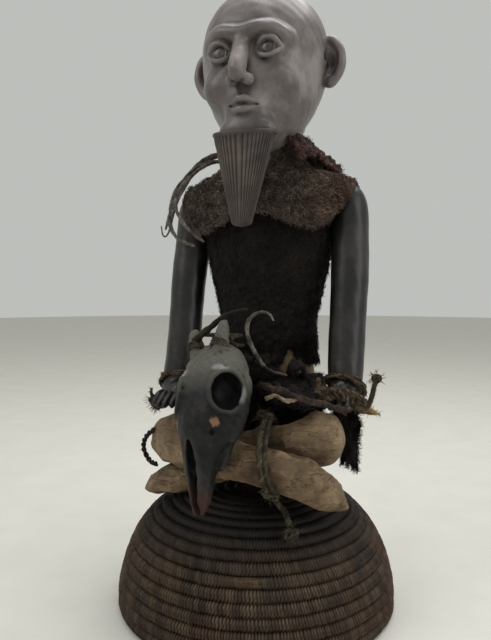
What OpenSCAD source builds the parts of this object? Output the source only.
// Seated ancestor figure of carved wood, dressed in hide and fur, tied onto an upturned coiled
// basket, with a small antelope skull hung in its lap. Millimetres, +Z up, the figure faces -Y.
// The origin is the centre of the basket's rim on the floor.

/* [Basket] */
// Outside radius of the upturned basket
basket_r = 156; // [152:1:160]
// Height of the upturned basket
basket_h = 128; // [126:1:130]
// Distance from one coil to the next
coil_pitch = 12; // [11:0.5:13]
// Thickness of the strand that wraps the fibre bundle
wrap_t = 1.2; // [0.8:0.1:1.3]

/* [Figure] */
// Diameter of the upper arm
arm_d = 41; // [38:1:42]
// Width of the head over the temples
head_w = 142; // [130:1:146]
// Depth of the head, brow to back
head_depth = 158; // [146:1:160]
// Length of the beard under the chin
beard_len = 97; // [80:1:105]
// Number of ribs carved round the beard
beard_ribs = 26; // [18:1:32]
// Diameter of the inlaid eyes
eye_d = 18; // [14:1:20]

/* [Joints] */
// Diameter of the shoulder and hip pegs
peg_d = 14; // [10:1:16]
// Diameter of the peg between neck and trunk
neck_peg_d = 24; // [18:1:28]
// Gap all round a peg in its hole
peg_gap = 0.1; // [0.05:0.05:0.3]
// Diameter of the cord bar that the skull swings on
swing_bar_d = 5; // [4:0.5:5.5]

/* [Dress] */
// Thickness of the crusted hide round the trunk
cover_t = 3.5; // [2:0.5:4]
// Thickness of the fur mantle
mantle_t = 8; // [5:0.5:9]
// Thickness of the loose hides
hide_t = 3; // [2:0.5:4]
// Diameter of the cord lashed round the shins
lashing_d = 8; // [6:0.5:9]
// Diameter of a shoulder thong
thong_d = 3.6; // [3:0.2:4]

/* [Hidden] */
$fn = 48;

wood_dark = "#2b2522";
wood_pale = "#a58b6a";
hide_black = "#17151a";
hide_brown = "#4a3229";
hide_red = "#6d352c";
fur_brown = "#5a4a3e";
cord_brown = "#5b4f40";
thong_grey = "#77726c";
bone_dark = "#45484a";

// The figure keeps its place on the basket when the basket's height changes
seat_h = 128;
lift = basket_h - seat_h;
gap = 0.4;

// ---- shapes by rule ----
function unit(v) = v / norm(v);
function spow(x, p) = sign(x) * pow(abs(x), p);
function last(list) = len(list) - 1;
function at_level(rows, z) = [for (i = [0:last(rows) - 1]) if (rows[i][0] <= z && z <= rows[i + 1][0])
    rows[i] + (rows[i + 1] - rows[i]) * (z - rows[i][0]) / (rows[i + 1][0] - rows[i][0])][0];

// A level ring; power 1 is an ellipse, less is squarer
function level_ring(z, cx, cy, rx, ry, n, power = 1) = [for (i = [0:n - 1]) let (a = 360 * i / n)
    [cx + rx * spow(cos(a), power), cy + ry * spow(sin(a), power), z]];

function heading(path, i, closed) = let (n = len(path))
    closed ? unit(path[(i + 1) % n] - path[(i + n - 1) % n])
           : unit(path[min(i + 1, n - 1)] - path[max(i - 1, 0)]);

// Rings across a path; size is [half width, half height] and side is a direction that the path never takes
function path_rings(path, sizes, side, n, closed = false) = [for (i = [0:last(path)])
    let (t = heading(path, i, closed), u = unit(cross(side, t)), v = cross(t, u))
    [for (k = [0:n - 1]) let (a = 360 * k / n)
        path[i] + sizes[i][0] * cos(a) * u + sizes[i][1] * sin(a) * v]];

function flat(rows) = [for (row = rows) each row];
function quad(a, b, c, d) = [[a, b, c], [a, c, d]];
function wall(m, n, from = 0, rings = 0) = [for (j = [0:m - 1], i = [0:n - 1])
    let (a = from + j * n + i, b = from + j * n + (i + 1) % n, up = rings > 0 && j == m - 1 ? -j * n : n)
    each quad(a, a + up, b + up, b)];
function turned(faces) = [for (f = faces) [f[0], f[2], f[1]]];

// A closed solid through a stack of rings
module loft(rings) {
    n = len(rings[0]);
    m = len(rings);
    ends = [[for (i = [0:n - 1]) i], [for (i = [n - 1:-1:0]) (m - 1) * n + i]];
    polyhedron(flat(rings), concat(wall(m - 1, n), ends));
}

// A ring of rings, closed on itself
module loop_loft(rings) {
    m = len(rings);
    polyhedron(flat(rings), wall(m, len(rings[0]), 0, m));
}

// A tube-like shell between two stacks of rings
module shell(outer, inner) {
    n = len(outer[0]);
    m = len(outer);
    from = m * n;
    top = (m - 1) * n;
    rims = [for (i = [0:n - 1]) let (k = (i + 1) % n)
        each concat(quad(i, k, from + k, from + i), quad(top + i, from + top + i, from + top + k, top + k))];
    polyhedron(concat(flat(outer), flat(inner)),
        concat(wall(m - 1, n), turned(wall(m - 1, n, from)), rims));
}

// A sheet of thickness t through a grid of points
module sheet(grid, t) {
    m = len(grid);
    n = len(grid[0]);
    all = m * n;
    faces_up = [for (i = [0:m - 2], j = [0:n - 2]) let (a = i * n + j)
        each quad(a, a + 1, a + n + 1, a + n)];
    faces_down = [for (f = faces_up) [f[0] + all, f[2] + all, f[1] + all]];
    sides_j = [for (i = [0:m - 2]) let (a = i * n, b = a + n, c = a + n - 1, d = c + n)
        each concat(quad(a, b, b + all, a + all), quad(d, c, c + all, d + all))];
    sides_i = [for (j = [0:n - 2]) let (a = j, b = j + 1, c = (m - 1) * n + j, d = c + 1)
        each concat(quad(b, a, a + all, b + all), quad(c, d, d + all, c + all))];
    normal = [for (i = [0:m - 1], j = [0:n - 1]) unit(cross(
        grid[min(i + 1, m - 1)][j] - grid[max(i - 1, 0)][j],
        grid[i][min(j + 1, n - 1)] - grid[i][max(j - 1, 0)]))];
    points = flat(grid);
    upper = [for (k = [0:all - 1]) points[k] + normal[k] * t / 2];
    lower = [for (k = [0:all - 1]) points[k] - normal[k] * t / 2];
    polyhedron(concat(upper, lower), concat(faces_up, faces_down, sides_j, sides_i));
}

// A cord of diameter d, thinner at its end by the factor tip
module cord(path, d, side, tip = 1, n = 8) {
    r = [for (i = [0:last(path)]) d / 2 * (1 + (tip - 1) * i / last(path))];
    loft(path_rings(path, [for (q = r) [q, q]], side, n));
}

module on_basket() {
    translate([0, 0, lift])
        children();
}

// ---- basket ----
// The middle of the coils follows a domed curve: upright at the rim, nearly level on top
bundle_r = coil_pitch / 2 + 0.2;
coil_r = bundle_r + wrap_t;
axis_gap = 0.2;
dome_from = 15;
fine = 400;
function dome(q) = [
    (basket_r - coil_r) * pow(cos(q), 0.5),
    dome_from + (basket_h - dome_from - coil_r) * pow(sin(q), 1.25)
];
dome_path = concat([[basket_r - coil_r, coil_pitch / 2]], [for (i = [0:fine]) dome(90 * i / fine)]);
function lengths(path, i = 0, so_far = 0) = i > last(path) ? []
    : let (now = i == 0 ? 0 : so_far + norm(path[i] - path[i - 1]))
        concat([now], lengths(path, i + 1, now));
dome_lengths = lengths(dome_path);
coiled_length = dome_lengths[last(dome_lengths)] - coil_r - axis_gap;
coil_count = round(coiled_length / coil_pitch);
coil_step = coiled_length / coil_count;
function along(s) = [for (i = [1:last(dome_path)]) if (dome_lengths[i] >= s)
    let (back = (dome_lengths[i] - s) / (dome_lengths[i] - dome_lengths[i - 1]))
        dome_path[i] + (dome_path[i - 1] - dome_path[i]) * back][0];
coil_middles = [for (k = [0:coil_count]) along(k * coil_step)];

module coil_section(r) {
    intersection() {
        union() {
            for (c = coil_middles)
                translate(c) circle(r, $fn = 12);
        }
        square([basket_r + coil_pitch, basket_h + coil_pitch]);
    }
}

module basket_bundle() {
    // The fibre core, one long spiral whose turns lie against each other
    color(cord_brown)
        rotate_extrude()
            coil_section(bundle_r);
}

module basket_stitching() {
    // The strand that wraps the core and sews each turn to the last, with the stitch that closes the middle
    color("#4b4036")
        union() {
            rotate_extrude()
                difference() {
                    coil_section(coil_r);
                    coil_section(bundle_r);
                }
            translate([0, 0, basket_h - 1.4 * coil_r])
                cylinder(h = 0.8 * coil_r, r = 4 * axis_gap);
        }
}

// ---- wooden figure ----
body_y = 45;
body_sides = 28;
// Height, half width, half depth, squareness of the trunk
TRUNK = [
    [128, 50, 42, 0.9], [140, 57, 46, 0.9], [170, 60, 47, 0.9], [205, 59, 46, 0.95], [240, 56, 43, 0.95],
    [283, 53, 39, 1], [320, 54, 39, 1], [356, 62, 41, 0.95], [385, 68, 42, 0.9], [412, 71, 42, 0.8],
    [440, 71.5, 40, 0.7], [456, 66, 37, 0.75], [467, 44, 33, 0.9]
];
shoulder_x = 76;
shoulder_z = 432;
hip_z = 184;
neck_z = 467.2;

function trunk_ring(row, out) = level_ring(row[0], 0, body_y, row[1] + out, row[2] + out, body_sides, row[3]);

module trunk_shape(out = 0) {
    loft([for (row = TRUNK) trunk_ring(row, out)]);
}

module shoulder_peg(side, r) {
    translate([side * (shoulder_x - 18), body_y + 1, shoulder_z])
        rotate([0, side * 90, 0])
            cylinder(h = 36, r = r);
}

module hip_peg(side, r) {
    translate([side * 38, 20, hip_z])
        rotate([90, 0, side * 40])
            cylinder(h = 42, r = r);
}

module neck_hole(r) {
    translate([0, body_y, neck_z - 32])
        cylinder(h = 62, r = r);
}

module trunk() {
    color(wood_pale)
        on_basket()
            difference() {
                trunk_shape();
                for (side = [-1, 1]) {
                    shoulder_peg(side, peg_d / 2 + peg_gap);
                    hip_peg(side, peg_d / 2 + peg_gap);
                }
                neck_hole(neck_peg_d / 2 + peg_gap);
            }
}

module neck_peg() {
    color(wood_pale)
        on_basket()
            neck_hole(neck_peg_d / 2);
}

module shoulder_pegs() {
    color(wood_pale)
        on_basket()
            for (side = [-1, 1])
                shoulder_peg(side, peg_d / 2);
}

module hip_pegs() {
    color(wood_pale)
        on_basket()
            for (side = [-1, 1])
                hip_peg(side, peg_d / 2);
}

// Head: height, middle along Y, half width, half depth as a share of the largest
HEAD = [
    [467.5, 45, 0.47, 0.42], [490, 45, 0.46, 0.41], [512, 40, 0.50, 0.52], [528, 30, 0.60, 0.70],
    [545, 27, 0.72, 0.82], [565, 28, 0.84, 0.92], [590, 30, 0.95, 0.98], [615, 31, 1.00, 1.00],
    [640, 32, 0.97, 0.97], [662, 33, 0.85, 0.86], [678, 34, 0.62, 0.64], [688, 34, 0.28, 0.30]
];
chin_z = 512;
ear_z = 604;
eye_z = 598;
eye_x = 27;
eye_front = -47;

module ear(side) {
    // A cupped rim that stands off the side of the head
    rim = [for (a = [-80:20:140]) [side * (70 + 16 * cos(a * 0.8)), 46 - 12 * cos(a), ear_z + 24 * sin(a)]];
    loft(path_rings(rim, [for (q = rim) [5, 5]], [0, 1, 0], 10));
    hull() {
        translate([side * 66, 44, ear_z - 12]) sphere(6, $fn = 12);
        translate([side * 64, 42, ear_z + 14]) sphere(6, $fn = 12);
        translate([side * 76, 52, ear_z + 14]) sphere(4, $fn = 12);
        translate([side * 76, 52, ear_z - 8]) sphere(4, $fn = 12);
    }
}

module nose() {
    hull() {
        translate([0, -48, 600]) sphere(6, $fn = 12);
        translate([0, -57, 566]) sphere(8, $fn = 12);
        translate([-9, -46, 564]) sphere(6, $fn = 12);
        translate([9, -46, 564]) sphere(6, $fn = 12);
    }
}

module lips() {
    hull() {
        for (side = [-1, 1])
            translate([side * 14, -36, 543]) sphere(6, $fn = 12);
        translate([0, -43, 543]) sphere(7, $fn = 12);
    }
}

module beard() {
    // Ribbed block that narrows downward in front of the chest
    tip_y = -46;
    tip_w = 10;
    tip_d = 7;
    root_y = -38;
    root_w = 35;
    root_d = 16;
    loft([
        level_ring(chin_z - beard_len, 0, tip_y, tip_w, tip_d, 16, 0.8),
        level_ring(chin_z, 0, root_y, root_w, root_d, 16, 0.8),
        level_ring(chin_z + 12, 0, -24, 38, 30, 16)
    ]);
    for (a = [0:360 / beard_ribs:359])
        hull() {
            translate([tip_w * spow(cos(a), 0.8), tip_y + tip_d * spow(sin(a), 0.8), chin_z - beard_len])
                cylinder(h = 2, r = 1, $fn = 6);
            translate([root_w * spow(cos(a), 0.8), root_y + root_d * spow(sin(a), 0.8), chin_z - 3])
                cylinder(h = 2, r = 2.5, $fn = 6);
        }
}

module head() {
    color(wood_dark)
        on_basket()
            difference() {
                union() {
                    loft([for (row = HEAD) level_ring(row[0], 0, row[1],
                        row[2] * head_w / 2, row[3] * head_depth / 2, 30)]);
                    beard();
                    nose();
                    lips();
                    ear(-1);
                    ear(1);
                }
                neck_hole(neck_peg_d / 2 + peg_gap);
                for (side = [-1, 1])
                    translate([side * eye_x, eye_front + 8, eye_z])
                        rotate([90, 0, 0])
                            cylinder(h = 30, d = eye_d + 0.4);
            }
}

module eye_inlays() {
    color("#8d8577")
        on_basket()
            for (side = [-1, 1])
                translate([side * eye_x, eye_front + 7.9, eye_z])
                    rotate([90, 0, 0])
                        cylinder(h = 2.5, d = eye_d);
}

// Arm and hand: path and half sizes across it, drawn for the figure's left
ARM = [
    [94, 46, 457], [94, 46, 450], [95, 46, 436], [97, 42, 405], [99, 34, 365], [99, 26, 325],
    [99, 18, 285], [100, 9, 255], [101, 1, 241], [99, -12, 235], [96, -26, 233], [94, -40, 232]
];
ARM_SIZE = [[8, 9], [17, 17], [1, 1], [1, 1], [1, 1], [0.97, 0.97], [0.94, 0.94], [0.88, 0.86],
    [17, 13], [18, 9], [19, 7.5], [14, 6]];
right_hand_drop = [0, 0, 0, 0, 0, 0, 0, 2, 6, 9, 11, 12];

module arm(side) {
    path = [for (i = [0:last(ARM)]) let (drop = side < 0 ? right_hand_drop[i] : 0)
        [side * ARM[i].x, ARM[i].y, ARM[i].z - drop]];
    sizes = [for (s = ARM_SIZE) s[0] <= 1 ? s * arm_d / 2 : s];
    difference() {
        intersection() {
            loft(path_rings(path, sizes, [0, 1, 0.35], 20));
            translate([side < 0 ? -150 : shoulder_x, -60, 200])
                cube([150 - shoulder_x, 150, 300]);
        }
        shoulder_peg(side, peg_d / 2 + peg_gap);
    }
}

module right_arm() {
    color(wood_dark)
        on_basket()
            arm(-1);
}

module left_arm() {
    color(wood_dark)
        on_basket()
            arm(1);
}

// Legs cross in front: thigh, knee, shin and pointed foot, with half sizes [level, upright]
LEFT_LEG = [
    [40, 34, 184], [58, 2, 188], [74, -24, 193], [84, -40, 196], [72, -55, 194], [38, -56, 188],
    [0, -51, 174], [-40, -50, 155], [-72, -48, 142], [-98, -43, 131], [-123, -33, 118]
];
LEFT_LEG_SIZE = [[27, 27], [27, 28], [27, 28], [24, 28], [18, 27], [13, 24],
    [12, 21], [13, 19], [15, 19], [13, 15], [3, 3]];
RIGHT_LEG = [
    [-40, 34, 180], [-56, 2, 182], [-74, -24, 183], [-84, -44, 183], [-66, -68, 185], [-30, -83, 182],
    [10, -86, 177], [42, -87, 175], [72, -80, 165], [96, -61, 147], [112, -40, 127]
];
RIGHT_LEG_SIZE = [[27, 27], [27, 27], [27, 26], [23, 26], [16, 24], [13, 21],
    [13, 20], [13, 21], [13, 22], [13, 18], [3, 3]];

module leg(path, sizes, side) {
    difference() {
        loft(path_rings(path, sizes, [0, 0, 1], 18));
        trunk_shape(gap);
        hip_peg(side, peg_d / 2 + peg_gap);
    }
}

module right_leg() {
    color(wood_pale)
        on_basket()
            leg(RIGHT_LEG, RIGHT_LEG_SIZE, -1);
}

module left_leg() {
    color(wood_pale)
        on_basket()
            leg(LEFT_LEG, LEFT_LEG_SIZE, 1);
}

// ---- hides and fur ----
COVER_LEVELS = [272, 283, 320, 356, 385, 412, 440, 452];

module torso_hide() {
    color(hide_black)
        on_basket()
            difference() {
                shell([for (z = COVER_LEVELS) trunk_ring(at_level(TRUNK, z), gap + cover_t)],
                    [for (z = COVER_LEVELS) trunk_ring(at_level(TRUNK, z), gap)]);
                for (side = [-1, 1])
                    shoulder_peg(side, peg_d / 2 + peg_gap);
            }
}

// Mantle from its hem to the neck: height over the shoulders, height in front and behind, how far it
// hangs lower beside the arms, half width, half depth
MANTLE = [
    [464, 432, 34, 101, 60], [469, 444, 20, 98, 59], [473, 456, 8, 89, 56],
    [478, 468, 0, 74, 51], [486, 480, 0, 57, 44], [499, 494, 0, 46, 40]
];
mantle_sides = 32;

function mantle_ring(row, in) = [for (i = [0:mantle_sides - 1])
    let (a = 360 * i / mantle_sides, f = pow(sin(a), 2))
    [(row[3] - in) * spow(cos(a), 0.85), body_y + (row[4] - in) * spow(sin(a), 0.85),
     row[0] * (1 - f) + row[1] * f - row[2] * pow(sin(2 * a), 2) - in * 0.7 * (1 - f)]];

module fur_mantle() {
    color(fur_brown)
        on_basket()
            shell([for (row = MANTLE) mantle_ring(row, 0)], [for (row = MANTLE) mantle_ring(row, mantle_t)]);
}

module hide_collar() {
    // Stiff hide that stands round the neck on the left and folds out over the shoulder
    color(hide_red)
        on_basket()
            sheet([for (i = [0:8]) let (a = -35 + 16 * i) [for (j = [0:4])
                let (f = j / 4, r = 77 - 23 * f + 13 * pow(1 - f, 2) * cos(a), z = 486 + 42 * pow(f, 0.8))
                [r * cos(a) * 0.95, body_y + 2 + r * sin(a) * 0.85, z - 4 * cos(3 * a)]]], hide_t);
}

// Dried thongs that arch over the right shoulder, by hand
THONGS = [
    [[-48, 42, 500], [-64, 41, 502], [-78, 40, 499], [-90, 38, 493], [-99, 34, 482], [-104, 28, 469],
     [-108, 20, 455], [-108, 11, 441], [-107, 3, 428], [-107, -3, 417], [-109, -6, 411], [-112, -8, 411],
     [-114, -8, 416], [-115, -8, 423]],
    [[-48, 34, 498], [-62, 32, 501], [-76, 29, 498], [-89, 24, 490], [-98, 17, 478], [-105, 8, 463],
     [-104, -4, 446], [-101, -12, 430], [-96, -17, 416], [-87, -20, 406], [-76, -20, 401], [-66, -20, 398]],
    [[-48, 27, 496], [-60, 25, 498], [-72, 20, 494], [-83, 13, 484], [-92, 3, 470], [-95, -8, 455],
     [-91, -17, 441], [-82, -21, 427], [-72, -22, 415], [-62, -22, 407], [-54, -22, 402]],
    [[-48, 38, 507], [-62, 38, 510], [-76, 36, 506], [-87, 31, 497], [-96, 26, 486], [-104, 17, 471],
     [-108, 5, 453], [-107, -3, 436], [-104, -10, 421]],
    [[-48, 46, 505], [-62, 46, 509], [-76, 45, 506], [-90, 42, 497], [-101, 37, 484], [-109, 30, 468],
     [-114, 21, 450], [-116, 13, 434], [-117, 7, 419]]
];

module thong(k) {
    color(thong_grey)
        on_basket()
            cord(THONGS[k], thong_d, [0, 1, 0.1], 0.6);
}

module lap_hide() {
    // A crumpled hide over both thighs, its front lip turned down behind the shins
    color(hide_black)
        on_basket()
            sheet([for (i = [0:12]) [for (j = [0:7])
                let (x = -72 + 13 * i, back = -4 - 6 * abs(x) / 80, front = x < 25 ? -44 : -70,
                    y = back + (front - back) * j / 7,
                    fold = 2.5 * sin(x * 6 + j * 40), drop = 20 * pow(j / 7, 2))
                [x, y, 260 - drop + fold - 8 * abs(x) / 80]]], hide_t * 2);
}

LAP_EDGE = [
    [30, -58, 250], [34, -68, 253], [43, -76, 252], [56, -80, 251], [70, -80, 246], [83, -78, 242],
    [95, -72, 239], [105, -63, 234], [111, -52, 230]
];
LAP_THONG = [
    [50, -46, 261], [38, -50, 264], [28, -54, 270], [22, -57, 280], [16, -60, 292], [12, -62, 306],
    [14, -64, 317], [21, -65, 324], [30, -65, 327], [38, -64, 324], [41, -63, 318]
];

module lap_hide_edge() {
    // The brown lip of the hide, rolled on itself
    color(hide_brown)
        on_basket()
            cord(LAP_EDGE, 9, [0, 0, 1], 0.7, 10);
}

module lap_thong() {
    color(thong_grey)
        on_basket()
            cord(LAP_THONG, thong_d, [0, 1, 0], 0.6);
}

module hanging_hide_strip() {
    color(hide_black)
        on_basket()
            sheet([for (i = [0:5]) [for (j = [0:3]) let (w = 30 - 2 * i + 5 * sin(i * 80))
                [113 + 1.5 * sin(i * 70) - w * j / 3, 26 - 4 * cos(i * 60 + j * 50), 216 - 14 * i + 3 * j]]],
                hide_t);
}

module hide_tip() {
    color("#8a6a48")
        on_basket()
            sheet([for (i = [0:4]) [for (j = [0:2]) let (w = 24 * (1 - i / 4) + 1.5)
                [101 + 8 * i, 20 + 1.5 * i + 4 * pow(j - 1, 2), 222 - 2.5 * i + 0.45 * w * (j - 1)]]],
                hide_t);
}

// ---- bindings and cords ----
KNEE_ROPE = [
    [-98, -58, 195], [-104, -58, 191], [-111, -56, 184], [-115, -54, 175], [-115, -52, 167],
    [-110, -53, 160], [-103, -57, 157], [-94, -62, 157]
];
TIE_END = [
    [110, -28, 236], [118, -22, 228], [124, -16, 225], [129, -11, 229], [132, -9, 238],
    [134, -9, 247], [137, -9, 256]
];
LASHING = [
    [36, -68, 220], [37, -88, 209], [40, -103, 192], [43, -107, 174], [46, -101, 157], [48, -88, 149],
    [46, -68, 150], [43, -48, 158], [39, -40, 176], [36, -39, 196], [35, -50, 213]
];
LASHING_TAIL = [
    [47, -84, 145], [49, -81, 140], [52, -78, 135], [56, -78, 131], [60, -81, 128], [64, -87, 124],
    [68, -92, 119]
];
knot_at = [72, -97, 112];

module wrist_ring(side, z) {
    translate([side * 100, 6, z])
        rotate([-38, side * 6, 0])
            rotate_extrude()
                translate([25, 0]) circle(4.5);
}

module right_wrist_binding() {
    color(cord_brown)
        on_basket()
            union() {
                wrist_ring(-1, 238);
                cord([[-122, -12, 222], [-117, -22, 218], [-112, -30, 213], [-106, -38, 218]], 9,
                    [0, 1, 0.2]);
                cord([[-118, -22, 222], [-119, -28, 228], [-117, -31, 235]], 6, [0, 1, 0], 0.4);
            }
}

module left_wrist_binding() {
    color(cord_brown)
        on_basket()
            union() {
                wrist_ring(1, 244);
                cord([[84, -48, 247], [92, -44, 240], [101, -36, 242], [112, -26, 238], [120, -14, 232],
                    [124, -4, 232]], 10, [0, 0.2, 1]);
                cord([[82, -42, 240], [82, -38, 250], [80, -32, 257]], 8, [0, 1, 0], 0.5);
            }
}

module left_tie_end() {
    color(cord_brown)
        on_basket()
            cord(TIE_END, 7, [0, 1, 0], 0.7);
}

module knee_rope() {
    color("#35302b")
        on_basket()
            cord(KNEE_ROPE, 6, [0, 1, 0]);
}

module shin_lashing() {
    color(cord_brown)
        on_basket()
            loop_loft(path_rings(LASHING, [for (q = LASHING) lashing_d / 2 * [1, 1]], [1, 0, 0], 8, true));
}

module lashing_tail() {
    color(cord_brown)
        on_basket()
            cord(LASHING_TAIL, 6, [1, 0, 0]);
}

module basket_knot() {
    color(cord_brown)
        on_basket()
            translate(knot_at)
                rotate([40, 30, 0])
                    rotate_extrude()
                        translate([5.5, 0]) circle(4.5);
}

// ---- skull ----
// Distance from the crown, half width, half depth, forward shift and squareness of each cross-section
SKULL = [
    [0, 14, 10, 0, 1], [8, 25, 18, 0, 1], [22, 34, 25, 0, 1], [40, 37, 28, 0, 1], [58, 38, 27, 0, 1],
    [76, 35, 25, 0, 1], [90, 27, 24, 0, 0.95], [105, 19, 21, 0, 0.9], [122, 15, 17, -1, 0.9],
    [142, 12, 12, -3, 0.9], [158, 9, 8, -5, 0.9], [168, 5, 4, -6, 1]
];
swing_at = [-20, -52, 301];

module place_skull() {
    on_basket()
        translate([-17, -69, 291])
            rotate([0, -4.6, 0])
                rotate([-29, 0, 0])
                    rotate([0, 0, -18])
                        children();
}

module skull() {
    color(bone_dark)
        place_skull()
            difference() {
                union() {
                    loft([for (i = [last(SKULL):-1:0]) let (s = SKULL[i])
                        level_ring(-s[0], 0, -s[3], s[1], s[2], 24, s[4])]);
                    for (side = [-1, 1])
                        hull() {
                            translate([side * 15, -15, -14]) sphere(8, $fn = 12);
                            translate([side * 19, -18, 17]) sphere(3.5, $fn = 12);
                        }
                }
                for (side = [-1, 1]) {
                    translate([side * 40, -10, -64]) sphere(19, $fn = 12);
                    translate([side * 3.5, -9, -158])
                        rotate([12, 0, 0])
                            cylinder(h = 44, r = 3, center = true, $fn = 12);
                }
                translate([0, 21, -128])
                    rotate([-8, 0, 0])
                        cylinder(h = 76, r = 8, center = true, $fn = 12);
            }
}

module skull_teeth() {
    color("#b5a888")
        place_skull()
            for (side = [-1, 1], k = [0:5])
                translate([side * (15 - k) - 3, 13 - k * 0.9, -96 - k * 6])
                    cube([6, 5, 5.4]);
}

module horn_binding() {
    // Cord wound between the horn cores, with the bar that the hanger holds
    color(cord_brown)
        on_basket()
            union() {
                translate(swing_at) rotate([0, 90, 0]) cylinder(h = 44, d = swing_bar_d, center = true);
                for (side = [-1, 1])
                    cord([for (q = [[20, 0, 0], [21, -14, 1], [21, -28, -1]])
                        swing_at + [side * q.x, q.y, q.z]], 5, [1, 0, 0.2]);
            }
}

module skull_hanger() {
    // Cord from the waist that ends in an eye round the bar
    color(cord_brown)
        on_basket()
            union() {
                translate(swing_at)
                    rotate([0, 90, 0])
                        rotate_extrude()
                            translate([swing_bar_d / 2 + 3.2, 0]) circle(2.4);
                cord([swing_at + [0, 6.5, -1], [-19, -36, 295], [-18, -24, 289], [-17, -12, 286],
                    [-16, 0, 285]], 5, [1, 0, 0]);
            }
}

VINE = [
    [-38, -82, 296], [-34, -82, 300], [-28, -80, 306], [-20, -78, 313], [-12, -77, 320], [-3, -76, 325],
    [7, -77, 328], [18, -78, 330]
];

module vine_root() {
    color("#4f463c")
        on_basket()
            cord(VINE, 8, [0, 1, 0], 0.4);
}

basket_bundle();
basket_stitching();
trunk();
head();
eye_inlays();
neck_peg();
right_arm();
left_arm();
shoulder_pegs();
right_leg();
left_leg();
hip_pegs();
torso_hide();
fur_mantle();
hide_collar();
thong(0);  // thong_1
thong(1);  // thong_2
thong(2);  // thong_3
thong(3);  // thong_4
thong(4);  // thong_5
lap_hide();
lap_hide_edge();
lap_thong();
hanging_hide_strip();
hide_tip();
right_wrist_binding();
left_wrist_binding();
left_tie_end();
knee_rope();
shin_lashing();
lashing_tail();
basket_knot();
skull_hanger();
skull();
skull_teeth();
horn_binding();
vine_root();
